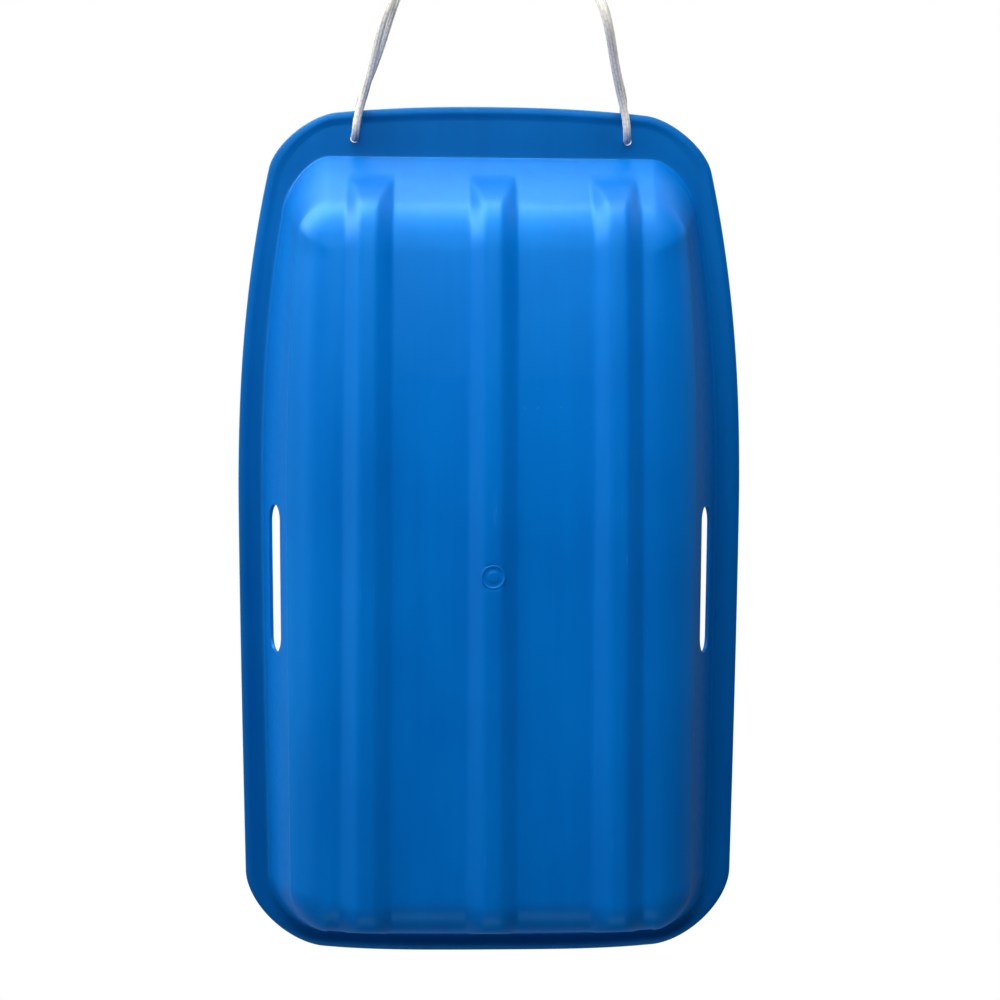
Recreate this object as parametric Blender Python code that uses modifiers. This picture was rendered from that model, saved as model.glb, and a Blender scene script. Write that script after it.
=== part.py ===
# Plastic toboggan tray with a pull rope, standing right side up on its runners.
# Metres, +Z up, front of the sled towards -Y, +X is the rider's left. Origin on the
# ground under the middle of the tray.

import math

import bmesh
import bpy
from mathutils import Vector

for old in list(bpy.data.objects):
    bpy.data.objects.remove(old, do_unlink=True)

MM = 0.001

# ---------------------------------------------------------------- driving dimensions (mm)
WALL = 2.5                 # moulded wall thickness
Z_FLOOR = 9.0              # underside of the floor, so also the height of the runners
Z_FLANGE = 92.0            # underside of the flange
Z_BEAD = 90.8              # lowest line of the bead along the rim
RIM_HALF = 208.0           # half width over the rim, at its widest
RIM_WIDEST_Y = -36.5       # where the rim is widest
RIM_FRONT_Y = -350.2       # front edge of the rim on the centre line
RIM_REAR_Y = 349.2         # rear edge of the rim on the centre line
FLANGE_SIDE = 16.0         # flange width outside the wall fillet: sides, front, rear
FLANGE_FRONT = 41.4
FLANGE_REAR = 13.2
FLOOR_HALF = 124.0         # where the floor starts to turn up into the side walls
FLOOR_FRONT_Y = -219.0     # where the floor turns up into the front wall
FLOOR_REAR_Y = 290.8       # where the floor turns up into the rear wall
ROCKER_Y = -40.0           # in front of this the floor rises towards the nose
ROCKER_RISE = 10.0
FRONT_RADIUS, FRONT_SLOPE = 71.2, 48.0     # front wall: radius at the floor, slope in degrees
REAR_RADIUS, REAR_SLOPE = 32.0, 77.0       # rear wall
SIDE_RADIUS, SIDE_SLOPE = 50.0, 52.0       # lower side wall, up to the crease
UPPER_SLOPE = 68.5                         # upper side wall, above the crease
RUNNER_X = 99.0            # centre of the outer runners
RUNNER_BASE = 19.8         # half width of a runner at the floor
RUNNER_CREST = 6.3         # half width of its flat crest
RUNNER_TAPER = 0.0035      # widening of the runners towards the rear, per mm
SLOT_Y, SLOT_LONG = 40.0, 120.0            # hand slots in the upper side walls
SLOT_Z, SLOT_HIGH = 62.0, 28.0
HOLE_X, HOLE_Y, HOLE_D = 113.3, -323.0, 8.2
GATE_Y, GATE_D = 36.6, 18.8                # round gate mark on the middle runner
ROPE_D = 6.5
LOOP_Y, LOOP_Z, LOOP_R = -336.8, 93.3, 13.9     # loop of the rope round the flange
COIL = (1.0, -490.0)       # centre of the coil of spare rope
COIL_OUTER, COIL_INNER, COIL_HIGH = 44.5, 31.4, 12.3
KNOTS = {"right": (-72.3, -438.0), "left": (76.2, -438.0)}
KNOT_LONG, KNOT_WIDE, KNOT_HIGH = 22.0, 21.0, 17.0

FLOOR_ROWS = 9             # facets along the floor between the front and rear walls
CORNER_WEIGHT = 0.56       # fullness of the rounded corners (1/sqrt(2) is a circle)


# ---------------------------------------------------------------- outline of the rim
def rim_x(y):
    d = abs(y - RIM_WIDEST_Y)
    if y < RIM_WIDEST_Y:
        return RIM_HALF - 22.2 * (d / 251.5) ** 2.3
    return RIM_HALF - 6.8 * (d / 306.3) ** 1.25


def rim_front(x):
    return RIM_FRONT_Y + 3.15 * (abs(x) / 98.0) ** 2.3


def rim_rear(x):
    return RIM_REAR_Y - 1.25 * (abs(x) / 98.0) ** 3.4


# ---------------------------------------------------------------- contour rings of the wall
# Each ring runs all round the tray: (height, outward share on the sides). Ring 0 is the edge
# of the floor, ring TOP the inner edge of the flange, the last ring the edge of the rim.
def side_profile():
    rings = []
    for n in range(4):
        a = math.radians(SIDE_SLOPE * n / 3)
        rings.append((Z_FLOOR + SIDE_RADIUS * (1 - math.cos(a)), SIDE_RADIUS * math.sin(a)))
    z, x = rings[-1]
    z, x = z + 3.0, x + 0.5                # the steep little step of the crease
    rings.append((z, x))
    for high in (43.0, 60.0, 76.0, 87.7):
        rings.append((high, x + (high - z) / math.tan(math.radians(UPPER_SLOPE))))
    x_top = RIM_HALF - FLANGE_SIDE - FLOOR_HALF
    rings.append((90.9, x_top - 3.5))
    rings.append((Z_FLANGE, x_top))
    return [(z, x / x_top) for z, x in rings]


WALL_RINGS = side_profile()
TOP = len(WALL_RINGS) - 1
# flange and bead: (height, distance inside the rim's edge)
LIP_RINGS = [(Z_FLANGE, 11.6), (91.4, 8.4), (Z_BEAD, 5.1), (91.5, 2.1), (92.5, 0.0)]
RINGS = TOP + len(LIP_RINGS)


def rocker(y):
    if y >= ROCKER_Y:
        return 0.0
    return ROCKER_RISE * ((ROCKER_Y - max(y, FLOOR_FRONT_Y)) / (ROCKER_Y - FLOOR_FRONT_Y)) ** 2


def end_wall(height, radius, start, slope):
    """Distance that an end wall has gone outward at this height above the floor."""
    a0, a1 = math.radians(start), math.radians(slope)
    arc_high = radius * (math.cos(a0) - math.cos(a1))
    if height <= arc_high:
        a = math.acos(max(-1.0, min(1.0, math.cos(a0) - height / radius)))
        return radius * (math.sin(a) - math.sin(a0))
    return radius * (math.sin(a1) - math.sin(a0)) + (height - arc_high) / math.tan(a1)


FRONT_START = math.degrees(math.atan(2 * ROCKER_RISE / (ROCKER_Y - FLOOR_FRONT_Y)))
SQUEEZE_FRONT = (Z_FLANGE - Z_FLOOR - ROCKER_RISE) / (Z_FLANGE - Z_FLOOR)


def ring_z(k, y):
    if k > TOP:
        return LIP_RINGS[k - TOP - 1][0]
    squeeze = (Z_FLANGE - Z_FLOOR - rocker(y)) / (Z_FLANGE - Z_FLOOR)
    return Z_FLANGE - (Z_FLANGE - WALL_RINGS[k][0]) * squeeze


def share(k, front):
    """How far ring k (up to TOP) has gone from the floor's edge to the flange, at an end."""
    if front:
        full = (Z_FLANGE - Z_FLOOR) * SQUEEZE_FRONT
        high = full - (Z_FLANGE - WALL_RINGS[k][0]) * SQUEEZE_FRONT
        return end_wall(high, FRONT_RADIUS, FRONT_START, FRONT_SLOPE) / end_wall(full, FRONT_RADIUS, FRONT_START, FRONT_SLOPE)
    full, high = Z_FLANGE - Z_FLOOR, WALL_RINGS[k][0] - Z_FLOOR
    return end_wall(high, REAR_RADIUS, 0, REAR_SLOPE) / end_wall(full, REAR_RADIUS, 0, REAR_SLOPE)


def side_x(k, y):
    if k > TOP:
        return rim_x(y) - LIP_RINGS[k - TOP - 1][1]
    return FLOOR_HALF + (rim_x(y) - FLANGE_SIDE - FLOOR_HALF) * WALL_RINGS[k][1]


def end_y(k, x, front):
    rim, wide, floor = (rim_front, FLANGE_FRONT, FLOOR_FRONT_Y) if front else (rim_rear, -FLANGE_REAR, FLOOR_REAR_Y)
    if k > TOP:
        inset = LIP_RINGS[k - TOP - 1][1]
        return rim(x) + (inset if front else -inset)
    flat = rim(0.0 if k == 0 or front else x)          # the front flange's inner edge is straight
    return floor + (flat + wide - floor) * share(k, front)


def corner_size(k, front):
    """X where ring k leaves its straight end, and Y length of its corner."""
    x_top, y_top, x_rim, y_rim = (133.6, 45.6, 128.0, 47.0) if front else (133.0, 48.0, 136.0, 63.0)
    if k <= TOP:
        s = share(k, front)
        return FLOOR_HALF + (x_top - FLOOR_HALF) * s, y_top * s ** 0.8
    wide = FLANGE_FRONT if front else FLANGE_REAR
    s = 1 - LIP_RINGS[k - TOP - 1][1] / wide
    return x_top + (x_rim - x_top) * s, y_top + (y_rim - y_top) * s


def corner_ends(k, front):
    """Start of the corner on the side, its control point, and its end on the front or rear."""
    bx, ry = corner_size(k, front)
    by = end_y(k, bx, front)
    sign = 1.0 if front else -1.0
    ay = by + sign * ry
    ax = side_x(k, ay)
    slope = (side_x(k, ay + sign) - ax) / sign
    cx = ax + slope * (by - ay)
    return Vector((ax, ay)), Vector((cx, by)), Vector((bx, by))


def corner_point(k, t, front):
    a, c, b = corner_ends(k, front)
    if k == 0:
        return b
    w0, w1, w2 = (1 - t) ** 2, 2 * CORNER_WEIGHT * t * (1 - t), t ** 2
    return (a * w0 + c * w1 + b * w2) / (w0 + w1 + w2)


# ---------------------------------------------------------------- runners
def runner_height(k, y, end):
    """1 along the floor, fading out on the front wall and just below the rear flange."""
    if end == "front":
        along = max(0.0, min(1.0, (y + 286.0) / 56.0))
        return 1 - (1 - along) ** 2.2
    if end == "rear":
        return 1.0 if k <= TOP and WALL_RINGS[k][0] < 80.0 else 0.0
    return 1.0


def rear_crest(k):
    """Crest of a runner at the rear end: it turns up in an arc, then follows the plane of the rear
    wall. Returns its distance behind the floor's edge and its height, for ring k."""
    steep = math.tan(math.radians(REAR_SLOPE))
    arc_high = REAR_RADIUS * (1 - math.cos(math.radians(REAR_SLOPE)))
    foot = end_wall(arc_high, REAR_RADIUS, 0, REAR_SLOPE) - (Z_FLOOR + arc_high) / steep
    if k < 3:
        return ((0.0, 0.0), (13.7, 2.4), (22.6, 9.3))[k]
    z, low = WALL_RINGS[k][0], WALL_RINGS[3][0]
    z -= Z_FLOOR * max(0.0, (80.0 - z) / (80.0 - low))
    return foot + z / steep + (0.8 if z < 80.0 else 0.0), z


def floor_columns(y, fade):
    """X of the columns between the centre line and the floor's edge, and which are crests."""
    base = RUNNER_BASE + RUNNER_TAPER * (y - 40.0)
    crest = RUNNER_CREST + (base - RUNNER_CREST) * (1 - fade) * 0.96
    return [(0.0, 1), (crest, 1), (base, 0), ((RUNNER_X - 20.0 + 20.0) / 2, 0), (RUNNER_X - base, 0),
            (RUNNER_X - crest, 1), (RUNNER_X + crest, 1), (min(RUNNER_X + base, FLOOR_HALF - 3.0), 0), (FLOOR_HALF, 0)]


COLUMNS = len(floor_columns(0.0, 1.0))     # the last one is ring 0


def end_section(k, x, front):
    y = end_y(k, x, front)
    return y, ring_z(k, FLOOR_FRONT_Y if front else FLOOR_REAR_Y)


def ring_on_end(k, column, front):
    y0, z0 = end_section(k, 0.0, front)
    fade = runner_height(k, y0, "front" if front else "rear")
    x, crest = floor_columns(y0, fade)[column]
    if column == COLUMNS - 1:
        x = corner_size(k, front)[0]
    y, z = end_section(k, x, front)
    if crest and not front and fade > 0:
        out, z = rear_crest(k)
        full = end_wall(Z_FLANGE - Z_FLOOR, REAR_RADIUS, 0, REAR_SLOPE)
        y = FLOOR_REAR_Y + out * (rim_rear(x) - FLANGE_REAR - FLOOR_REAR_Y) / full
    elif crest and fade > 0:
        y1, z1 = end_section(max(k - 1, 0), x, front)
        y2, z2 = end_section(k + 1, x, front)
        along = Vector((y2 - y1, z2 - z1)).normalized()
        out = Vector((-along.y, along.x))
        if k == 0:
            out = Vector((0.0, -1.0))
        y, z = y + out.x * Z_FLOOR * fade, z + out.y * Z_FLOOR * fade
    return Vector((x, y, z))


def floor_point(row, column):
    y = FLOOR_FRONT_Y + (FLOOR_REAR_Y - FLOOR_FRONT_Y) * row / FLOOR_ROWS
    x, crest = floor_columns(y, 1.0)[column]
    return Vector((x, y, Z_FLOOR + rocker(y) - (Z_FLOOR if crest else 0.0)))


def side_point(k, row):
    front, rear = corner_ends(k, True)[0].y, corner_ends(k, False)[0].y
    y = front + (rear - front) * row / FLOOR_ROWS
    return Vector((side_x(k, y), y, ring_z(k, y)))


def tray_point(i, j):
    """Underside of the tray. i counts columns from the centre line, j rows from the front."""
    a = max(0, i - (COLUMNS - 1))
    front, rear = max(0, RINGS - j), max(0, j - RINGS - FLOOR_ROWS)
    b, is_front = (front, True) if front else (rear, False)
    if a == 0 and b == 0:
        return floor_point(j - RINGS, i)
    if a == 0:
        return ring_on_end(b, i, is_front)
    if b == 0:
        return side_point(a, j - RINGS)
    k = max(a, b)
    t = b / (2 * k) if a == k else 1 - a / (2 * k)
    p = corner_point(k, t, is_front)
    y_for_z = FLOOR_FRONT_Y if is_front else FLOOR_REAR_Y
    ay = corner_ends(k, is_front)[0].y
    z = ring_z(k, ay) + (ring_z(k, y_for_z) - ring_z(k, ay)) * min(1.0, 2 * t)
    return Vector((p.x, p.y, z))


# ---------------------------------------------------------------- scene helpers
parts = bpy.data.collections.new("plastic_sled")
tools = bpy.data.collections.new("cutters")
bpy.context.scene.collection.children.link(parts)
bpy.context.scene.collection.children.link(tools)


def material(name, colour, roughness):
    m = bpy.data.materials.new(name)
    m.use_nodes = True
    shader = m.node_tree.nodes["Principled BSDF"]
    shader.inputs["Base Color"].default_value = (*colour, 1.0)
    shader.inputs["Roughness"].default_value = roughness
    shader.inputs["Metallic"].default_value = 0.0
    return m


def add(name, data, where, mat=None):
    obj = bpy.data.objects.new(name, data)
    where.objects.link(obj)
    if mat:
        data.materials.append(mat)
    return obj


def as_cutter(obj):
    obj.hide_render = True
    obj.display_type = "WIRE"
    return obj


def boolean(target, cutter, operation):
    mod = target.modifiers.new(cutter.name, "BOOLEAN")
    mod.operation = operation
    mod.solver = "EXACT"
    mod.object = cutter


def cylinder(name, radius, z0, z1, x, y, segments):
    mesh = bpy.data.meshes.new(name)
    bm = bmesh.new()
    bmesh.ops.create_cone(bm, cap_ends=True, segments=segments, radius1=radius * MM, radius2=radius * MM, depth=(z1 - z0) * MM)
    bm.to_mesh(mesh)
    bm.free()
    obj = as_cutter(add(name, mesh, tools))
    obj.location = (x * MM, y * MM, (z0 + z1) / 2 * MM)
    return obj


def turned(name, profile, x, y, where, mat, steps):
    """A ring turned round +Z from a closed profile of (radius, height)."""
    mesh = bpy.data.meshes.new(name)
    bm = bmesh.new()
    verts = [bm.verts.new((r * MM, 0.0, z * MM)) for r, z in profile]
    for a, b in zip(verts, verts[1:] + verts[:1]):
        bm.edges.new((a, b))
    bm.to_mesh(mesh)
    bm.free()
    obj = add(name, mesh, where, mat)
    obj.location = (x * MM, y * MM, 0.0)
    mod = obj.modifiers.new("turn", "SCREW")
    mod.axis = "Z"
    mod.steps = mod.render_steps = steps
    mod.use_merge_vertices = True
    mod.merge_threshold = 0.00005
    return obj


# ---------------------------------------------------------------- the tray
blue = material("blue_polyethylene", (0.005, 0.125, 0.42), 0.36)
mesh = bpy.data.meshes.new("sled_shell")
bm = bmesh.new()
wide, long = COLUMNS + RINGS, 2 * RINGS + FLOOR_ROWS + 1
grid = [[bm.verts.new(tray_point(i, j) * MM) for j in range(long)] for i in range(wide)]
for i in range(wide - 1):
    for j in range(long - 1):
        quad = (grid[i][j], grid[i][j + 1], grid[i + 1][j + 1], grid[i + 1][j])
        bm.faces.new([v for n, v in enumerate(quad) if v not in quad[:n]])
bm.to_mesh(mesh)
bm.free()
shell = add("sled_shell", mesh, parts, blue)
mirror = shell.modifiers.new("mirror", "MIRROR")
mirror.use_axis = (True, False, False)
mirror.use_clip = True
mirror.merge_threshold = 0.0001
thick = shell.modifiers.new("wall", "SOLIDIFY")
thick.thickness = WALL * MM
thick.offset = -1.0
thick.use_even_offset = True
thick.use_quality_normals = True

# hand slots: one bar with rounded ends passes through both side walls
bar = bpy.data.meshes.new("slot_cutter")
bm = bmesh.new()
bmesh.ops.create_cube(bm, size=1.0)
for v in bm.verts:
    v.co = Vector((v.co.x * 430 * MM, v.co.y * SLOT_LONG * MM, v.co.z * SLOT_HIGH * MM))
bmesh.ops.bevel(bm, geom=[e for e in bm.edges if abs((e.verts[0].co - e.verts[1].co).x) > 0.1],
                offset=SLOT_HIGH * MM * 0.48, offset_type="OFFSET", segments=6, profile=0.5, affect="EDGES")
bm.to_mesh(bar)
bm.free()
slot_cutter = as_cutter(add("slot_cutter", bar, tools))
slot_cutter.location = (0.0, SLOT_Y * MM, SLOT_Z * MM)
boolean(shell, slot_cutter, "DIFFERENCE")

# rope holes in the front flange
for side, sign in (("left", 1), ("right", -1)):
    boolean(shell, cylinder("hole_cutter_" + side, HOLE_D / 2, 86.0, 100.0, sign * HOLE_X, HOLE_Y, 20), "DIFFERENCE")

# gate mark: a low round pad flush with the runner's crest, with a ring groove and a dimple
boolean(shell, cylinder("gate_pad", GATE_D / 2, 0.03, 2.2, 0.0, GATE_Y, 32), "UNION")
groove = as_cutter(turned("gate_groove", [(8.4, -1.0), (8.4, 0.4), (5.3, 0.4), (5.3, -1.0)][::-1], 0.0, GATE_Y, tools, None, 24))
boolean(shell, groove, "DIFFERENCE")
boolean(shell, cylinder("gate_dimple", 3.7, -1.0, 0.3, 0.0, GATE_Y, 20), "DIFFERENCE")


# ---------------------------------------------------------------- the rope
def smooth(points, step):
    """A soft curve through the points: Catmull-Rom every 2 mm, relaxed, read every step mm."""
    pts = [Vector(p) for p in points]
    pts = [pts[0] * 2 - pts[1]] + pts + [pts[-1] * 2 - pts[-2]]
    out = []
    for p0, p1, p2, p3 in zip(pts, pts[1:], pts[2:], pts[3:]):
        n = max(1, round((p2 - p1).length / 2.0))
        for m in range(n):
            t = m / n
            out.append(0.5 * ((2 * p1) + (p2 - p0) * t + (2 * p0 - 5 * p1 + 4 * p2 - p3) * t * t
                              + (3 * p1 - p0 - 3 * p2 + p3) * t ** 3))
    out.append(pts[-2])
    for _ in range(8):
        out = [out[0]] + [(a + 2 * b + c) / 4 for a, b, c in zip(out, out[1:], out[2:])] + [out[-1]]
    count = max(2, round((len(out) - 1) * 2.0 / step))
    return [out[round(n * (len(out) - 1) / count)] for n in range(count + 1)]


def hole_loop(sign, x_low, x_front):
    """The loop round the flange: from under it, up through the hole, over and down in front."""
    out = []
    for degrees in range(-90, 181, 30):
        a = math.radians(degrees)
        t = (degrees + 90) / 270
        x = x_low + (HOLE_X - x_low) * min(1.0, t * 3) if t < 1 / 3 else HOLE_X + (x_front - HOLE_X) * (t - 1 / 3) * 1.5
        out.append((sign * x, LOOP_Y + LOOP_R * math.cos(a), LOOP_Z + LOOP_R * math.sin(a)))
    return out


# Each side: out of the knot, up the lower run to the front rim, round the flange through the
# hole, and down the upper run back to the knot.
BIGHT = {
    "right": [(-78.0, -425.4, 5.2), (-82.4, -414.5, 3.7), (-87.9, -400.5, 9.5), (-93.2, -386.5, 29.0),
              (-98.2, -373.0, 50.5), (-103.6, -358.0, 68.5), (-107.6, -347.0, 76.0)]
             + hole_loop(-1, 110.6, 109.2)
             + [(-107.8, -353.6, 84.6), (-104.4, -361.0, 76.0), (-97.8, -373.5, 63.6), (-90.6, -388.0, 45.0),
                (-84.2, -402.0, 24.4), (-78.8, -414.8, 12.6), (-74.4, -425.2, 11.4)],
    "left": [(78.4, -425.4, 5.2), (83.2, -414.5, 3.7), (88.6, -400.5, 9.5), (93.9, -386.5, 29.0),
             (99.0, -373.0, 50.5), (104.7, -358.0, 68.5), (108.6, -347.0, 76.0)]
            + hole_loop(1, 111.0, 110.0)
            + [(109.2, -353.6, 84.6), (107.0, -361.0, 77.0), (102.0, -373.5, 64.6), (97.0, -388.0, 46.4),
               (91.8, -402.0, 26.0), (86.4, -414.8, 13.6), (81.8, -425.2, 12.0)],
}
# from each knot to the coil: the left one goes in at the bottom, the right one comes off the top
LEAD = {
    "right": [(-68.6, -450.0, 5.2), (-64.6, -456.4, 3.9), (-58.0, -460.2, 3.8), (-51.6, -463.6, 5.6), (-47.0, -467.4, 7.6)],
    "left": [(72.4, -450.0, 5.2), (68.6, -457.2, 3.6), (62.2, -463.6, 3.4), (55.4, -469.4, 3.4), (50.8, -474.4, 3.4)],
}
cream = material("braided_rope", (0.72, 0.69, 0.62), 0.85)


def tube(name, points, step=14.0):
    curve = bpy.data.curves.new(name, "CURVE")
    curve.dimensions = "3D"
    curve.bevel_depth = ROPE_D / 2 * MM
    curve.bevel_resolution = 2
    curve.use_fill_caps = True
    route = smooth(points, step)
    spline = curve.splines.new("POLY")
    spline.points.add(len(route) - 1)
    for point, p in zip(spline.points, route):
        point.co = (p.x * MM, p.y * MM, p.z * MM, 1.0)
    return add(name, curve, parts, cream)


for side in ("left", "right"):
    tube("rope_bight_" + side, BIGHT[side], 8.0)
    tube("rope_lead_" + side, LEAD[side], 9.0)
    x, y = KNOTS[side]
    mesh = bpy.data.meshes.new("knot_" + side)
    bm = bmesh.new()
    bmesh.ops.create_uvsphere(bm, u_segments=16, v_segments=10, radius=1.0)
    for v in bm.verts:
        v.co = Vector((v.co.x * KNOT_WIDE / 2 * MM, v.co.y * KNOT_LONG / 2 * MM, v.co.z * KNOT_HIGH / 2 * MM))
    bm.to_mesh(mesh)
    bm.free()
    knot = add("knot_" + side, mesh, parts, cream)
    knot.location = (x * MM, y * MM, (KNOT_HIGH / 2 + 0.05) * MM)
    knot.rotation_euler = (0.0, 0.0, math.radians(-19.0 if side == "left" else 19.0))

# three turns of spare rope on the ground, two side by side and one on top of them
turned("rope_coil", [(COIL_OUTER, 5.6), (COIL_OUTER - 2.2, 9.4), (COIL_OUTER - 5.0, COIL_HIGH), (COIL_INNER + 5.0, COIL_HIGH),
                     (COIL_INNER + 2.2, 9.4), (COIL_INNER, 5.6), (COIL_INNER, 1.6), (COIL_INNER + 1.8, 0.1),
                     (COIL_OUTER - 1.8, 0.1), (COIL_OUTER, 1.6)][::-1],
       COIL[0], COIL[1], parts, cream, 40)
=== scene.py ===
# Plastic toboggan tray with its pull rope: finished surfaces, rope and studio.
# Metres, +Z up, front of the sled towards -Y, +X is the rider's left. Lengths below are in mm.

import math

import bmesh
import bpy
from mathutils import Matrix, Vector


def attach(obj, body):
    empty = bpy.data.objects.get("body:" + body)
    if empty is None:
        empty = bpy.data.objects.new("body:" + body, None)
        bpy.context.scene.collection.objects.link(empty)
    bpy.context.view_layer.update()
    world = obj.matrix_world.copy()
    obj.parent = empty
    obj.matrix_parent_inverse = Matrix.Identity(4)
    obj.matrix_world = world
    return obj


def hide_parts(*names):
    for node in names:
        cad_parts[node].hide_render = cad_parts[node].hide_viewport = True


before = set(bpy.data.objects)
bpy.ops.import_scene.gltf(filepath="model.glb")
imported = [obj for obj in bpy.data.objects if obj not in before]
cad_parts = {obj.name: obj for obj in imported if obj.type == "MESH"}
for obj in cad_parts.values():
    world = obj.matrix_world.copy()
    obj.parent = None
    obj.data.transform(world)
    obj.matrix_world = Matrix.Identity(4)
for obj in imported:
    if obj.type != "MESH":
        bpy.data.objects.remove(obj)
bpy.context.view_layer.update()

MM = 0.001
scene = bpy.context.scene

# ---------------------------------------------------------------- dimensions (mm), as in the part
WALL = 2.5
Z_FLOOR, Z_FLANGE = 9.0, 92.0
RIM_HALF, RIM_WIDEST_Y = 208.0, -36.5
RIM_FRONT_Y, RIM_REAR_Y = -350.2, 349.2
FLANGE_SIDE, FLANGE_FRONT, FLANGE_REAR = 16.0, 41.4, 12.4
FLOOR_HALF, FLOOR_FRONT_Y, FLOOR_REAR_Y = 124.0, -219.0, 290.8
ROCKER_Y, ROCKER_RISE = -40.0, 10.0
FRONT_RADIUS, FRONT_SLOPE = 71.2, 48.0
REAR_RADIUS, REAR_SLOPE = 32.0, 77.0
SIDE_RADIUS, SIDE_SLOPE, UPPER_SLOPE = 50.0, 52.0, 68.5
RUNNER_X, RUNNER_BASE, RUNNER_CREST, RUNNER_TAPER = 99.0, 19.8, 6.3, 0.0035
SLOT_Y, SLOT_LONG, SLOT_Z, SLOT_HIGH = 40.0, 120.0, 62.0, 28.0
HOLE_X, HOLE_Y, HOLE_D = 113.3, -323.0, 7.1
GATE_Y, GATE_D = 36.6, 18.8
ROPE_D = 6.5
LOOP_Y, LOOP_Z, LOOP_R = -336.8, 93.3, 13.9
COIL = (1.0, -490.0)
KNOTS = {"right": (-72.3, -438.0), "left": (76.2, -438.0)}
KNOT_LONG, KNOT_WIDE, KNOT_HIGH = 22.0, 21.0, 17.0
CORNER_WEIGHT = 0.56


def rad(a):
    return math.radians(a)


def lerp(a, b, t):
    return a + (b - a) * t


def clamp(t, lo=0.0, hi=1.0):
    return max(lo, min(hi, t))


def ease(t):
    t = clamp(t)
    return t * t * (3 - 2 * t)


# ---------------------------------------------------------------- camera
# The picture looks up at the underside from below, with the front of the sled at the top.
eye, aim = Vector((-0.051, -0.024, -1.508)), Vector((0.0083, -0.024, 0.092))
forward = (aim - eye).normalized()
right = forward.cross(Vector((0, -1, 0))).normalized()
up = right.cross(forward)
roll = math.radians(0.2)
right, up = right * math.cos(roll) + up * math.sin(roll), up * math.cos(roll) - right * math.sin(roll)
cam_data = bpy.data.cameras.new("camera")
cam_data.sensor_width = 36.0
cam_data.lens = 36.0 * (aim - eye).length / 0.83
cam_data.clip_start, cam_data.clip_end = 0.05, 50.0
cam = bpy.data.objects.new("camera", cam_data)
scene.collection.objects.link(cam)
cam.matrix_world = Matrix(((right.x, up.x, -forward.x, eye.x), (right.y, up.y, -forward.y, eye.y),
                           (right.z, up.z, -forward.z, eye.z), (0, 0, 0, 1)))
scene.camera = cam


# ---------------------------------------------------------------- small helpers
def link(obj):
    scene.collection.objects.link(obj)
    return obj


def mesh_object(name, bm, mat=None, sharp=None):
    mesh = bpy.data.meshes.new(name)
    bm.to_mesh(mesh)
    bm.free()
    mesh.shade_smooth()
    if sharp is not None:
        mesh.set_sharp_from_angle(angle=rad(sharp))
    if mat:
        mesh.materials.append(mat)
    return link(bpy.data.objects.new(name, mesh))


def node_material(name):
    m = bpy.data.materials.new(name)
    m.use_nodes = True
    tree = m.node_tree
    shader = tree.nodes["Principled BSDF"]

    def node(kind, **settings):
        n = tree.nodes.new(kind)
        for key, value in settings.items():
            if key.startswith("in_"):
                n.inputs[key[3:].replace("_", " ")].default_value = value
            else:
                setattr(n, key, value)
        return n

    return m, tree.links.new, node, shader


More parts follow.
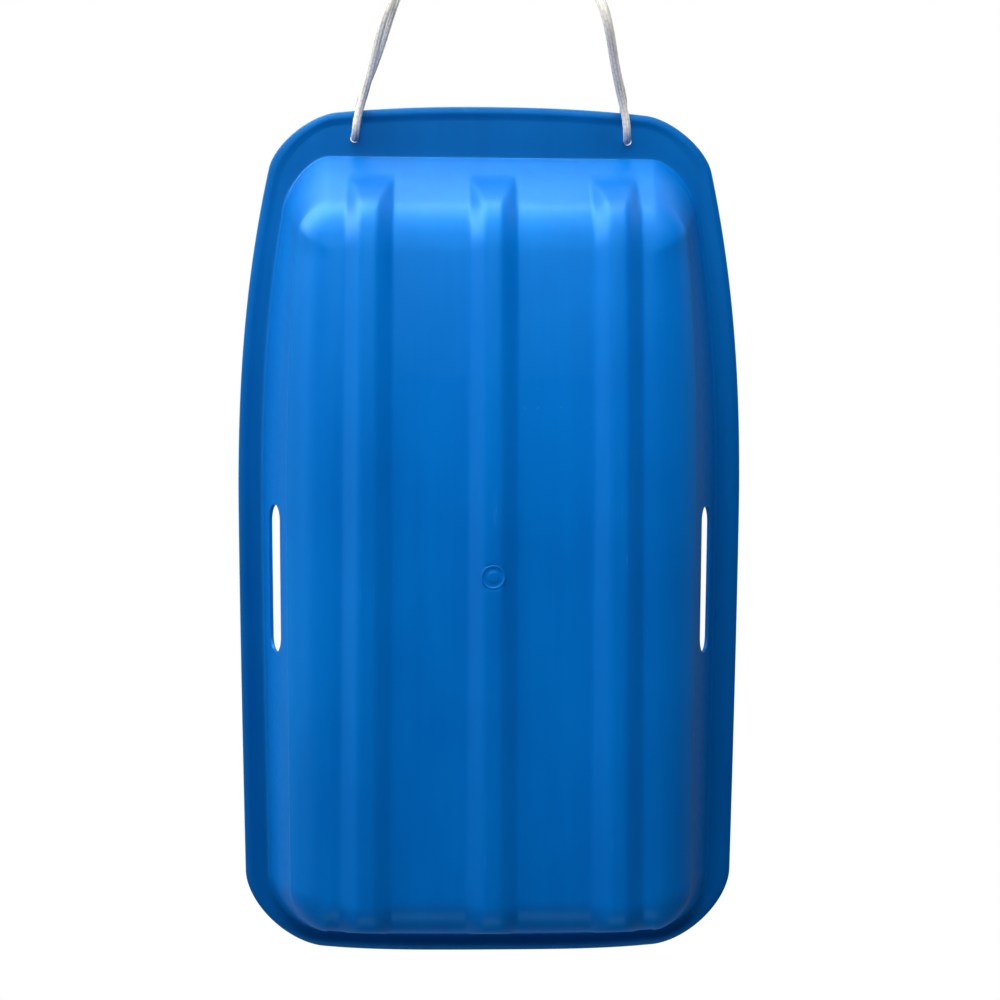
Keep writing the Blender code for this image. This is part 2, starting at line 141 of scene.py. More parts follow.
# ---------------------------------------------------------------- material of the tray
def blue_plastic():
    """Moulded polyethylene: smooth and semi-gloss, faint flow lines from the gate, a fine grain,
    and pale scuffs along the crests of the runners where they slide."""
    m, wire, node, shader = node_material("blue_polyethylene")
    coord = node("ShaderNodeTexCoord")
    where = coord.outputs["Object"]

    def noise(scale, detail, stretch=(1, 1, 1), rough=0.5):
        mapping = node("ShaderNodeMapping")
        mapping.inputs["Scale"].default_value = stretch
        wire(where, mapping.inputs["Vector"])
        n = node("ShaderNodeTexNoise", in_Scale=scale, in_Detail=detail, in_Roughness=rough)
        wire(mapping.outputs["Vector"], n.inputs["Vector"])
        return n.outputs["Fac"]

    def math_node(op, a, b=None, use_clamp=False):
        n = node("ShaderNodeMath", operation=op, use_clamp=use_clamp)
        for slot, value in ((0, a), (1, b)):
            if value is None:
                continue
            if isinstance(value, (int, float)):
                n.inputs[slot].default_value = value
            else:
                wire(value, n.inputs[slot])
        return n.outputs[0]

    def ramp(value, lo, hi, out_lo=0.0, out_hi=1.0):
        n = node("ShaderNodeMapRange", interpolation_type="SMOOTHSTEP")
        for key, v in (("From Min", lo), ("From Max", hi), ("To Min", out_lo), ("To Max", out_hi)):
            n.inputs[key].default_value = v
        wire(value, n.inputs["Value"])
        return n.outputs["Result"]

    split = node("ShaderNodeSeparateXYZ")
    wire(where, split.inputs[0])
    x, y, z = split.outputs

    # broad, faint changes of tone, and flow lines that run along the tray
    broad = noise(7.0, 3.0)
    flow = noise(1.0, 4.0, (55.0, 4.0, 55.0))
    tone = math_node("ADD", math_node("MULTIPLY", broad, 0.6), math_node("MULTIPLY", flow, 0.4))
    base = node("ShaderNodeMix", data_type="RGBA")
    base.inputs["A"].default_value = (0.0, 0.104, 0.405, 1)
    base.inputs["B"].default_value = (0.0, 0.123, 0.452, 1)
    wire(ramp(tone, 0.35, 0.65), base.inputs["Factor"])

    # scuffs: thin streaks along the runners, only on what touches the ground
    streak = noise(1.0, 3.0, (1500.0, 24.0, 1500.0), 0.6)
    patch = noise(30.0, 3.0)
    crest = ramp(z, 0.0012, 0.0002)
    scuff = math_node("MULTIPLY", math_node("MULTIPLY", ramp(streak, 0.60, 0.72), ramp(patch, 0.48, 0.62)), crest)
    # a few short nicks in the floor beside the middle runner
    near = node("ShaderNodeVectorMath", operation="DISTANCE")
    wire(where, near.inputs[0])
    near.inputs[1].default_value = (0.0435, -0.092, 0.009)
    nick = math_node("MULTIPLY", ramp(near.outputs["Value"], 0.030, 0.012),
                     ramp(noise(1.0, 2.0, (420.0, 150.0, 420.0)), 0.69, 0.75))
    marks = math_node("MAXIMUM", math_node("MULTIPLY", scuff, 0.30), math_node("MULTIPLY", nick, 0.18))
    worn = node("ShaderNodeMix", data_type="RGBA")
    worn.inputs["B"].default_value = (0.10, 0.33, 0.72, 1)
    wire(marks, worn.inputs["Factor"])
    wire(base.outputs["Result"], worn.inputs["A"])
    # painted shade: the underside of the flange lies in shade, so its colour is darkened to 0.67 of the walls'
    facing = node("ShaderNodeNewGeometry")
    normal = node("ShaderNodeSeparateXYZ")
    wire(facing.outputs["Normal"], normal.inputs[0])
    under = math_node("MULTIPLY", ramp(normal.outputs["Z"], -0.72, -0.92), ramp(z, 0.0885, 0.0905))
    painted_shade = node("ShaderNodeMix", data_type="RGBA", blend_type="MULTIPLY")
    painted_shade.inputs["B"].default_value = (0.67, 0.67, 0.67, 1)
    wire(under, painted_shade.inputs["Factor"])
    wire(worn.outputs["Result"], painted_shade.inputs["A"])
    wire(painted_shade.outputs["Result"], shader.inputs["Base Color"])

    rough = math_node("ADD", ramp(noise(140.0, 3.0), 0.3, 0.7, 0.33, 0.38), math_node("MULTIPLY", marks, 0.5))
    wire(rough, shader.inputs["Roughness"])
    shader.inputs["IOR"].default_value = 1.5
    shader.inputs["Specular IOR Level"].default_value = 0.75
    shader.inputs["Specular Tint"].default_value = (0.13, 0.60, 1.0, 1)

    grain = node("ShaderNodeBump", in_Strength=0.10, in_Distance=0.00006)
    wire(noise(1600.0, 2.0), grain.inputs["Height"])
    swell = node("ShaderNodeBump", in_Strength=0.18, in_Distance=0.0004)
    wire(noise(1.0, 2.0, (34.0, 11.0, 34.0)), swell.inputs["Height"])
    wire(grain.outputs["Normal"], swell.inputs["Normal"])
    wire(swell.outputs["Normal"], shader.inputs["Normal"])
    return m


def braided_rope():
    """Off-white braided polyester: ribs of yarn run along it, with painted shade darkening the grooves between them and
    faint blotches of dust.
    """
    m, wire, node, shader = node_material("braided_rope")
    painted_shade = node("ShaderNodeAttribute", attribute_name="groove")
    coord = node("ShaderNodeTexCoord")
    fibre = node("ShaderNodeTexNoise", in_Scale=2600.0, in_Detail=3.0)
    wire(coord.outputs["Object"], fibre.inputs["Vector"])
    blotch = node("ShaderNodeTexNoise", in_Scale=90.0, in_Detail=2.0)
    wire(coord.outputs["Object"], blotch.inputs["Vector"])

    # painted shade: the cream darkens towards brown-grey with the depth of the groove
    base = node("ShaderNodeMix", data_type="RGBA")
    base.inputs["A"].default_value = (0.93, 0.91, 0.865, 1)
    base.inputs["B"].default_value = (0.30, 0.27, 0.225, 1)
    wire(painted_shade.outputs["Fac"], base.inputs["Factor"])
    dusty = node("ShaderNodeMix", data_type="RGBA", blend_type="MULTIPLY")
    dusty.inputs["B"].default_value = (0.93, 0.91, 0.875, 1)
    wire(blotch.outputs["Fac"], dusty.inputs["Factor"])
    wire(base.outputs["Result"], dusty.inputs["A"])
    fuzz = node("ShaderNodeMix", data_type="RGBA", blend_type="MULTIPLY")
    fuzz.inputs["B"].default_value = (0.88, 0.87, 0.855, 1)
    wire(fibre.outputs["Fac"], fuzz.inputs["Factor"])
    wire(dusty.outputs["Result"], fuzz.inputs["A"])
    wire(fuzz.outputs["Result"], shader.inputs["Base Color"])
    shader.inputs["Roughness"].default_value = 0.72
    shader.inputs["Specular IOR Level"].default_value = 0.3
    shader.inputs["Sheen Weight"].default_value = 0.12
    shader.inputs["Sheen Roughness"].default_value = 0.5
    bump = node("ShaderNodeBump", in_Strength=0.35, in_Distance=0.00012)
    wire(fibre.outputs["Fac"], bump.inputs["Height"])
    wire(bump.outputs["Normal"], shader.inputs["Normal"])
    return m


BLUE, CREAM = blue_plastic(), braided_rope()


# ---------------------------------------------------------------- the rope
def smooth(points, step):
    """A soft curve through the points: Catmull-Rom every 1 mm, relaxed, read every step mm."""
    pts = [Vector(p) for p in points]
    pts = [pts[0] * 2 - pts[1]] + pts + [pts[-1] * 2 - pts[-2]]
    out = []
    for p0, p1, p2, p3 in zip(pts, pts[1:], pts[2:], pts[3:]):
        n = max(1, round((p2 - p1).length))
        for m in range(n):
            t = m / n
            out.append(0.5 * ((2 * p1) + (p2 - p0) * t + (2 * p0 - 5 * p1 + 4 * p2 - p3) * t * t
                              + (3 * p1 - p0 - 3 * p2 + p3) * t ** 3))
    out.append(pts[-2])
    for _ in range(30):
        out = [out[0]] + [(a + 2 * b + c) / 4 for a, b, c in zip(out, out[1:], out[2:])] + [out[-1]]
    along = [0.0]
    for a, b in zip(out, out[1:]):
        along.append(along[-1] + (b - a).length)
    count, found, i = max(2, round(along[-1] / step)), [], 0
    for n in range(count + 1):
        want = along[-1] * n / count
        while i < len(out) - 2 and along[i + 1] < want:
            i += 1
        found.append(out[i].lerp(out[i + 1], clamp((want - along[i]) / (along[i + 1] - along[i]))))
    return found


def hole_loop(sign, x_low, x_front):
    """The loop round the flange: from under it, up through the hole, over and down in front."""
    out = []
    for degrees in range(-90, 181, 30):
        a = rad(degrees)
        t = (degrees + 90) / 270
        x = x_low + (HOLE_X - x_low) * min(1.0, t * 3) if t < 1 / 3 else HOLE_X + (x_front - HOLE_X) * (t - 1 / 3) * 1.5
        out.append((sign * x, LOOP_Y + LOOP_R * math.cos(a), LOOP_Z + LOOP_R * math.sin(a)))
    return out


BIGHT = {
    "right": [(-78.0, -425.4, 5.2), (-82.4, -414.5, 3.7), (-87.9, -400.5, 9.5), (-93.2, -386.5, 29.0),
              (-98.2, -373.0, 50.5), (-103.6, -358.0, 68.5), (-107.6, -347.0, 76.0)]
             + hole_loop(-1, 110.6, 109.2)
             + [(-107.8, -353.6, 84.6), (-104.4, -361.0, 76.0), (-97.8, -373.5, 63.6), (-90.6, -388.0, 45.0),
                (-84.2, -402.0, 24.4), (-78.8, -414.8, 12.6), (-74.4, -425.2, 11.4)],
    "left": [(78.4, -425.4, 5.2), (83.2, -414.5, 3.7), (88.6, -400.5, 9.5), (93.9, -386.5, 29.0),
             (99.0, -373.0, 50.5), (104.7, -358.0, 68.5), (108.6, -347.0, 76.0)]
            + hole_loop(1, 111.0, 110.0)
            + [(109.2, -353.6, 84.6), (107.0, -361.0, 77.0), (102.0, -373.5, 64.6), (97.0, -388.0, 46.4),
               (91.8, -402.0, 26.0), (86.4, -414.8, 13.6), (81.8, -425.2, 12.0)],
}
LEAD = {
    "right": [(-68.6, -450.0, 5.2), (-64.6, -456.4, 3.9), (-58.0, -460.2, 3.8), (-51.6, -463.6, 5.6), (-47.0, -467.4, 7.6)],
    "left": [(72.4, -450.0, 5.2), (68.6, -457.2, 3.6), (62.2, -463.6, 3.4), (55.4, -469.4, 3.4), (50.8, -474.4, 3.4)],
}


def coil_points():
    """Two turns on the ground, the second inside the first, then up on top of them and out."""
    out = []
    for phi in range(0, 901, 15):
        r = lerp(41.2, 34.7, ease((phi - 270) / 75))
        z = 3.4
        if phi > 585:
            up_there = ease((phi - 585) / 60)
            r, z = lerp(r, 38.0, up_there), lerp(z, 8.95, up_there)
        a = -rad(phi)
        out.append((COIL[0] + r * math.cos(a), COIL[1] + r * math.sin(a), z))
    return out


def braid(theta, s):
    """Height of the yarn (0 in a groove, 1 on top) at an angle round the rope and s mm along it."""
    columns, stitch = 8, 7.2
    u = theta / (2 * math.pi) * columns
    column = math.floor(u)
    across = abs(math.sin(math.pi * (u - column)))
    v = s / stitch + (0.5 if column % 2 else 0.0)
    along = abs(2 * (v - math.floor(v)) - 1)
    return clamp(across ** 0.55 * (1 - 0.55 * along ** 5))


def rope_mesh(name, route, radius=ROPE_D / 2, around=32, ends=True):
    """A braided tube along the route (mm), its yarns raised on the surface, its ends rounded."""
    bm = bmesh.new()
    layer = bm.verts.layers.float.new("groove")
    tangents = [(route[min(i + 1, len(route) - 1)] - route[max(i - 1, 0)]).normalized() for i in range(len(route))]
    side = tangents[0].orthogonal().normalized()
    rings, s = [], 0.0
    for i, (p, t) in enumerate(zip(route, tangents)):
        if i:
            s += (p - route[i - 1]).length
            side = (side - t * side.dot(t)).normalized()
        other = t.cross(side)
        from_end = min(i, len(route) - 1 - i)
        taper = (0.62, 0.86, 0.97)[from_end] if ends and from_end < 3 else 1.0
        ring = []
        for n in range(around):
            a = 2 * math.pi * n / around
            h = braid(a + s * 0.004, s)
            r = radius * (0.885 + 0.125 * h) * taper
            v = bm.verts.new((p + (side * math.cos(a) + other * math.sin(a)) * r) * MM)
            # depth of the groove here, which the rope's material darkens as painted shade
            v[layer] = (1 - h) ** 1.6
            ring.append(v)
        rings.append(ring)
    for a, b in zip(rings, rings[1:]):
        for n in range(around):
            m = (n + 1) % around
            bm.faces.new((a[n], a[m], b[m], b[n]))
    bm.faces.new(rings[0][::-1])
    bm.faces.new(rings[-1])
    bmesh.ops.recalc_face_normals(bm, faces=bm.faces)
    return mesh_object(name, bm, CREAM)


STEP = 0.7
ropes = {}
for side in ("left", "right"):
    route = smooth(BIGHT[side], STEP)
    piece = rope_mesh("rope_loop_" + side, route)
    ropes[side] = (piece, route)
main_route = smooth(LEAD["left"] + [(46.0, -481.0, 3.4)] + coil_points()
                    + [(-39.6, -478.0, 9.9), (-42.6, -472.6, 9.4)] + LEAD["right"][::-1], STEP)
main_rope = rope_mesh("pull_rope", main_route)


def knot(side):
    """A tight overhand knot, with the short melted tail of the tied-off end."""
    x, y = KNOTS[side]
    turn = Matrix.Rotation(rad(-19.0 if side == "left" else 19.0), 3, "Z")
    wide, long, high = KNOT_WIDE / 2 - 3.3, KNOT_LONG / 2 - 3.3, KNOT_HIGH / 2 - 3.3
    steps, route = (120), []
    for n in range(steps + 1):
        t = 2 * math.pi * n / steps + 0.4
        p = Vector((wide * (math.sin(t) + 2 * math.sin(2 * t)) / 2.9, long * (math.cos(t) - 2 * math.cos(2 * t)) / 2.9,
                    -high * math.sin(3 * t)))
        route.append(turn @ p + Vector((x, y, KNOT_HIGH / 2 + 0.05)))
    body = rope_mesh("knot_" + side + "_wrap", route, ends=False)
    sign = 1 if side == "left" else -1
    tail = smooth([(x + sign * 4.0, y - 3.0, 8.0), (x + sign * 9.0, y - 6.0, 6.2), (x + sign * 13.0, y - 10.0, 4.2),
                   (x + sign * 15.5, y - 15.0, 3.5)], STEP)
    tail = rope_mesh("tail_" + side, tail)
    with bpy.context.temp_override(active_object=body, selected_editable_objects=[body, tail], object=body):
        bpy.ops.object.join()
    return body


knots = {side: knot(side) for side in ("left", "right")}
for side in ("left", "right"):
    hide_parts("knot_" + side)
    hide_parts("rope_bight_" + side)
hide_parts("rope_coil", "rope_lead_left", "rope_lead_right")
for piece in (knots["left"], knots["right"], ropes["left"][0], ropes["right"][0], main_rope):
    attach(piece, "root")


for side in ("left", "right"):
    piece, route = ropes[side]


# ---------------------------------------------------------------- outline of the rim
def rim_x(y):
    d = abs(y - RIM_WIDEST_Y)
    if y < RIM_WIDEST_Y:
        return RIM_HALF - 22.2 * (d / 251.5) ** 2.3
    return RIM_HALF - 6.8 * (d / 306.3) ** 1.25


def rim_front(x):
    return RIM_FRONT_Y + 3.15 * (abs(x) / 98.0) ** 2.3


def rim_rear(x):
    return RIM_REAR_Y - 1.25 * (abs(x) / 98.0) ** 3.4


def rocker(y):
    if y >= ROCKER_Y:
        return 0.0
    return ROCKER_RISE * ((ROCKER_Y - max(y, FLOOR_FRONT_Y)) / (ROCKER_Y - FLOOR_FRONT_Y)) ** 2


# ---------------------------------------------------------------- sections of the wall
# Each section is a list of (distance outward from the floor's edge, height), the same number of
# points for the sides, the front and the rear: arc, crease, upper wall, fillet, flange, lip.
def path_points(turns, start, count):
    """Points along a path of (length, end slope) pieces, each turning evenly to its end slope."""
    x, z, slope = start
    out = []
    for (length, end), n in zip(turns, count):
        for _ in range(n):
            step_slope = (end - slope) / n if n else 0.0
            angle = rad(slope + step_slope * (_ + 0.5))
            x, z = x + length / n * math.cos(angle), z + length / n * math.sin(angle)
            out.append((x, z))
        slope = end
    return out


N_ARC, N_STEP, N_UPPER, N_FILLET, N_FLANGE = ((18, 10, 8, 10, 5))
# bead along the edge, from the flange to the edge of the rim: (distance inside the rim, height)
LIP = [(12.2, 92.0), (11.4, 91.96), (10.6, 91.86), (9.8, 91.72), (9.0, 91.55), (8.2, 91.37), (7.5, 91.2), (6.9, 91.06),
       (6.3, 90.94), (5.7, 90.86), (5.1, 90.84), (4.5, 90.88), (3.8, 90.99), (3.0, 91.2), (2.1, 91.52), (1.1, 91.95), (0.0, 92.5)]
TOP = N_ARC + N_STEP + N_UPPER + N_FILLET
RINGS = TOP + N_FLANGE + len(LIP)


def section(radius, start, slope, base_z, step, upper_slope, fillet_r, x_top, turn_upper=0.0):
    """Section of the wall up to the flange's inner edge. step is the crease's height, or 0."""
    out = [(0.0, base_z)]
    for n in range(1, N_ARC + 1):
        a = rad(lerp(start, slope, n / N_ARC))
        out.append((radius * (math.sin(a) - math.sin(rad(start))), base_z + radius * (math.cos(rad(start)) - math.cos(a))))
    x, z = out[-1]
    if step:
        quarter = N_STEP // 2
        out += path_points([(step * 0.45, 84.0), (step * 0.55, upper_slope)], (x, z, slope), (quarter, N_STEP - quarter))
    else:
        length = 6.0
        out += path_points([(length, upper_slope)], (x, z, slope), (N_STEP,))
    x, z = out[-1]
    end = upper_slope + turn_upper
    fillet_high = fillet_r * (1 - math.cos(rad(end)))
    span = Z_FLANGE - fillet_high - z
    length = span / math.sin(rad((upper_slope + end) / 2))
    out += path_points([(length, end)], (x, z, upper_slope), (N_UPPER,))
    x, z = out[-1]
    for n in range(1, N_FILLET + 1):
        a = rad(end * (1 - n / N_FILLET))
        out.append((x + fillet_r * (math.sin(rad(end)) - math.sin(a)), Z_FLANGE - fillet_r * (1 - math.cos(a))))
    full = out[-1][0]
    return [(px / full, pz) for px, pz in out], full


FRONT_START = math.degrees(math.atan(2 * ROCKER_RISE / (ROCKER_Y - FLOOR_FRONT_Y)))
SIDE, SIDE_FULL = section(SIDE_RADIUS, 0.0, SIDE_SLOPE, Z_FLOOR, 3.4, UPPER_SLOPE, 6.0, 68.0)
FRONT, FRONT_FULL = section(FRONT_RADIUS, FRONT_START, 45.0, Z_FLOOR + ROCKER_RISE, 0.0, 47.0, 2.2, 1.0, turn_upper=4.0)
REAR, REAR_FULL = section(REAR_RADIUS, 0.0, REAR_SLOPE, Z_FLOOR, 0.0, REAR_SLOPE, 1.8, 1.0)


def side_section(k, y):
    """(share of the way out, height) of ring k on the side at y; the rocker squeezes the heights."""
    share, z = SIDE[k]
    squeeze = (Z_FLANGE - Z_FLOOR - rocker(y)) / (Z_FLANGE - Z_FLOOR)
    return share, Z_FLANGE - (Z_FLANGE - z) * squeeze


def flange_inset(k, wide):
    """Distance inside the rim of ring k beyond the wall."""
    n = k - TOP
    if n <= N_FLANGE:
        return lerp(wide, LIP[0][0], n / (N_FLANGE + 1))
    return LIP[n - N_FLANGE - 1][0]


def ring_height(k):
    n = k - TOP
    return Z_FLANGE if n <= N_FLANGE else LIP[n - N_FLANGE - 1][1]


def side_x(k, y):
    if k > TOP:
        return rim_x(y) - flange_inset(k, FLANGE_SIDE)
    return FLOOR_HALF + (rim_x(y) - FLANGE_SIDE - FLOOR_HALF) * SIDE[k][0]


def side_z(k, y):
    return ring_height(k) if k > TOP else side_section(k, y)[1]


def end_share(k, front):
    return (FRONT if front else REAR)[k][0]


def end_y(k, x, front):
    rim, wide, floor = (rim_front, FLANGE_FRONT, FLOOR_FRONT_Y) if front else (rim_rear, -FLANGE_REAR, FLOOR_REAR_Y)
    if k > TOP:
        inset = flange_inset(k, abs(wide))
        if front:  # the flange's inner edge is straight, its outer edge is bowed
            bow = clamp((inset - LIP[0][0]) / (wide - LIP[0][0]))
            return lerp(rim(x), rim(0.0), bow) + inset
        return rim(x) - inset
    flat = rim(0.0) if front else lerp(rim(0.0), rim(x), ease(end_share(k, front)))
    return floor + (flat + wide - floor) * end_share(k, front)


def end_z(k, front):
    return ring_height(k) if k > TOP else (FRONT if front else REAR)[k][1]


def corner_size(k, front):
    x_top, y_top, x_rim, y_rim = (133.6, 45.6, 128.0, 47.0) if front else (133.0, 48.0, 136.0, 63.0)
    if k <= TOP:
        s = end_share(k, front)
        return FLOOR_HALF + (x_top - FLOOR_HALF) * s, y_top * s ** 0.8
    wide = FLANGE_FRONT if front else FLANGE_REAR
    s = 1 - flange_inset(k, wide) / wide
    return x_top + (x_rim - x_top) * s, y_top + (y_rim - y_top) * s


def corner_ends(k, front):
    bx, ry = corner_size(k, front)
    by = end_y(k, bx, front)
    sign = 1.0 if front else -1.0
    ay = by + sign * ry
    ax = side_x(k, ay)
    slope = (side_x(k, ay + sign) - ax) / sign
    wide = FLANGE_FRONT if front else FLANGE_REAR
    rise = (end_y(k, bx + 0.5, front) - end_y(k, bx - 0.5, front)) * (1 - flange_inset(k, wide) / wide) if k > TOP else 0.0
    cy = (by + rise * (ax - slope * ay - bx)) / (1 - rise * slope)
    return Vector((ax, ay)), Vector((ax + slope * (cy - ay), cy)), Vector((bx, by))


CORNERS = {front: [corner_ends(k, front) for k in range(RINGS + 1)] for front in (True, False)}


# ---------------------------------------------------------------- floor, runners and their ends
def runner_base(y):
    return RUNNER_BASE + RUNNER_TAPER * (y - 40.0)


def soft_min(a, b, r):
    """The lower of a and b, with the corner between them rounded over about r."""
    h = max(r - abs(a - b), 0.0) / r
    return min(a, b) - h * h * r * 0.25


def runner_profile(x, y, cap):
    """How far the runners stand proud of the floor at x, when their crest is cap mm high."""
    if cap <= 0.0:
        return 0.0
    base = runner_base(y)
    u = min(abs(x), abs(abs(x) - RUNNER_X))
    flank = (base - u) * Z_FLOOR / (base - RUNNER_CREST)
    high = soft_min(flank, cap, min(2.2, cap))
    return max(0.0, -soft_min(-high, 0.0, 1.2)) if high < 1.2 else high


def column_list():
    """X of the columns from the centre line to the floor's edge, closest together on the runners."""
    fine, coarse = ((1.0, 6.0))

    def spread(a, b, step):
        n = max(1, round((b - a) / step))
        return [a + (b - a) * i / n for i in range(n)]

    return (spread(0.0, 5.0, 2.5) + spread(5.0, 8.5, fine * 0.7) + spread(8.5, 17.5, fine * 1.5)
            + spread(17.5, 22.5, fine) + spread(22.5, 76.0, coarse) + spread(76.0, 81.5, fine) + spread(81.5, 90.5, fine * 1.5)
            + spread(90.5, 94.5, fine * 0.7) + spread(94.5, 103.5, 2.5) + spread(103.5, 107.5, fine * 0.7)
            + spread(107.5, 116.5, fine * 1.5) + spread(116.5, 121.0, fine) + spread(121.0, FLOOR_HALF, 1.5) + [FLOOR_HALF])


XS = column_list()
COLUMNS = len(XS)
ROWS = 84
FRONT_FADE, FRONT_FADE_LONG = -286.0, 56.0


def floor_point(row, column):
    y = lerp(FLOOR_FRONT_Y, FLOOR_REAR_Y, row / ROWS)
    x = XS[column]
    tilt = 0.0
    if y < ROCKER_Y:
        tilt = 2 * ROCKER_RISE * (ROCKER_Y - y) / (ROCKER_Y - FLOOR_FRONT_Y) ** 2
    h = runner_profile(x, y, Z_FLOOR)
    fall = 1 / math.hypot(1, tilt)
    return Vector((x, y - h * tilt * fall, Z_FLOOR + rocker(y) - h * fall))


def front_point(k, column):
    x = XS[column]
    if column == COLUMNS - 1:
        x = corner_size(k, True)[0]
    y, z = end_y(k, x, True), end_z(k, True)
    along = clamp((y - FRONT_FADE) / FRONT_FADE_LONG)
    cap = Z_FLOOR * (1 - (1 - along) ** 2.2) * ease(along / 0.08)
    if k > TOP or cap <= 0:
        return Vector((x, y, z))
    y1, z1 = end_y(max(k - 1, 0), x, True), end_z(max(k - 1, 0), True)
    y2, z2 = end_y(k + 1, x, True), end_z(k + 1, True)
    along = Vector((y2 - y1, z2 - z1)).normalized()
    h = runner_profile(x, FLOOR_FRONT_Y, cap)
    return Vector((x, y - along.y * h, z + along.x * h))


CREST_RADIUS = 24.0         # how a crest turns up at the rear end


def rear_point(k, column):
    """The crest runs straight back along the ground and turns up in the plane of the rear wall."""
    x = XS[column]
    if column == COLUMNS - 1:
        x = corner_size(k, False)[0]
    if k > TOP:
        return Vector((x, end_y(k, x, False), end_z(k, False)))
    h = runner_profile(x, FLOOR_REAR_Y, Z_FLOOR)
    share, z = REAR[k]
    out = share * REAR_FULL
    if h > 0.0 and k <= N_ARC:
        steep = math.tan(rad(REAR_SLOPE))
        arc_high = REAR_RADIUS * (1 - math.cos(rad(REAR_SLOPE)))
        corner = REAR_RADIUS * math.sin(rad(REAR_SLOPE)) - (arc_high + h) / steep
        radius = lerp(REAR_RADIUS, CREST_RADIUS, h / Z_FLOOR)
        reach = radius * math.tan(rad(REAR_SLOPE / 2))
        begin, s = 0.4 * h / Z_FLOOR, k / N_ARC
        if s <= begin:
            out, z = (corner - reach) * s / begin, Z_FLOOR - h
        else:
            a = rad(REAR_SLOPE * (s - begin) / (1 - begin))
            out, z = corner - reach + radius * math.sin(a), Z_FLOOR - h + radius * (1 - math.cos(a))
    if h > 0.0:
        # the end face stands a little proud of the wall, to just below the fillet
        proud = 1.0 * min(1.0, h / 4.0) * ease((84.0 - z) / 45.0) * ease((z + 2.0) / 12.0)
        out += proud
    if h > 0.0 and k > N_ARC:
        # the foot of the face is lower on the runner than on the wall beside it
        low = REAR[N_ARC][1]
        arc_end = Z_FLOOR - h + lerp(REAR_RADIUS, CREST_RADIUS, h / Z_FLOOR) * (1 - math.cos(rad(REAR_SLOPE)))
        z_new = arc_end + (z - low) * (84.0 - arc_end) / (84.0 - low) if z < 84.0 else z
        out += (z_new - z) / math.tan(rad(REAR_SLOPE))
        z = z_new
    full = rim_rear(x) - FLANGE_REAR - FLOOR_REAR_Y
    return Vector((x, FLOOR_REAR_Y + out * full / REAR_FULL, z))


def side_point(k, row):
    front, rear = CORNERS[True][k][0].y, CORNERS[False][k][0].y
    y = lerp(front, rear, row / ROWS)
    return Vector((side_x(k, y), y, side_z(k, y)))


def tray_point(i, j):
    a = max(0, i - (COLUMNS - 1))
    front, rear = max(0, RINGS - j), max(0, j - RINGS - ROWS)
    b, is_front = (front, True) if front else (rear, False)
    if a == 0 and b == 0:
        return floor_point(j - RINGS, i)
    if a == 0:
        return front_point(b, i) if is_front else rear_point(b, i)
    if b == 0:
        return side_point(a, j - RINGS)
    k = max(a, b)
    t = b / (2 * k) if a == k else 1 - a / (2 * k)
    p0, c, p1 = CORNERS[is_front][k]
    w0, w1, w2 = (1 - t) ** 2, 2 * CORNER_WEIGHT * t * (1 - t), t ** 2
    p = (p0 * w0 + c * w1 + p1 * w2) / (w0 + w1 + w2)
    z0, z1 = side_z(k, p0.y), end_z(k, is_front)
    return Vector((p.x, p.y, lerp(z0, z1, ease(t))))


def build_tray():
    bm = bmesh.new()
    wide, long = COLUMNS + RINGS, 2 * RINGS + ROWS + 1
    grid = [[bm.verts.new(tray_point(i, j) * MM) for j in range(long)] for i in range(wide)]
    for i in range(wide - 1):
        for j in range(long - 1):
            quad = (grid[i][j], grid[i][j + 1], grid[i + 1][j + 1], grid[i + 1][j])
            bm.faces.new(quad)
    bmesh.ops.remove_doubles(bm, verts=bm.verts, dist=0.000004)
    tray = mesh_object("tray", bm, BLUE)
    mirror = tray.modifiers.new("mirror", "MIRROR")
    mirror.use_clip = True
    mirror.merge_threshold = 0.0001
    wall = tray.modifiers.new("wall", "SOLIDIFY")
    wall.thickness = WALL * MM
    wall.offset = -1.0
    wall.use_even_offset = True
    wall.use_quality_normals = True
    edge = tray.modifiers.new("edge", "BEVEL")
    edge.limit_method = "ANGLE"
    edge.angle_limit = rad(60)
    edge.width = 0.55 * MM
    edge.segments = 2
    # slots and rope holes
    bm = bmesh.new()
    made = bmesh.ops.create_cube(bm, size=1.0)
    for v in made["verts"]:
        v.co = Vector((v.co.x * 430 * MM, v.co.y * SLOT_LONG * MM, v.co.z * SLOT_HIGH * MM))
    bmesh.ops.bevel(bm, geom=[e for e in bm.edges if abs((e.verts[0].co - e.verts[1].co).x) > 0.1],
                    offset=SLOT_HIGH * MM * 0.48, offset_type="OFFSET", segments=14, profile=0.5, affect="EDGES")
    bmesh.ops.translate(bm, verts=bm.verts, vec=(0, SLOT_Y * MM, SLOT_Z * MM))
    for sign in (-1, 1):
        bmesh.ops.create_cone(bm, cap_ends=True, segments=40, radius1=HOLE_D / 2 * MM, radius2=HOLE_D / 2 * MM, depth=14 * MM,
                              matrix=Matrix.Translation((sign * HOLE_X * MM, HOLE_Y * MM, 93 * MM)))
    bmesh.ops.create_cone(bm, cap_ends=True, segments=72, radius1=18.1 * MM, radius2=7.4 * MM, depth=3 * MM,
                          matrix=Matrix.Translation((0, GATE_Y * MM, -0.4 * MM)))
    cutter = mesh_object("cutter", bm)
    cut = tray.modifiers.new("openings", "BOOLEAN")
    cut.operation, cut.solver, cut.object = "DIFFERENCE", "EXACT", cutter
    final = bpy.data.meshes.new_from_object(tray.evaluated_get(bpy.context.evaluated_depsgraph_get()))
    tray.modifiers.clear()
    tray.data = final
    bpy.data.objects.remove(cutter, do_unlink=True)
    final.shade_smooth()
    final.set_sharp_from_angle(angle=rad(38))
    return tray


tray = build_tray()
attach(tray, "root")
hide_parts("sled_shell")


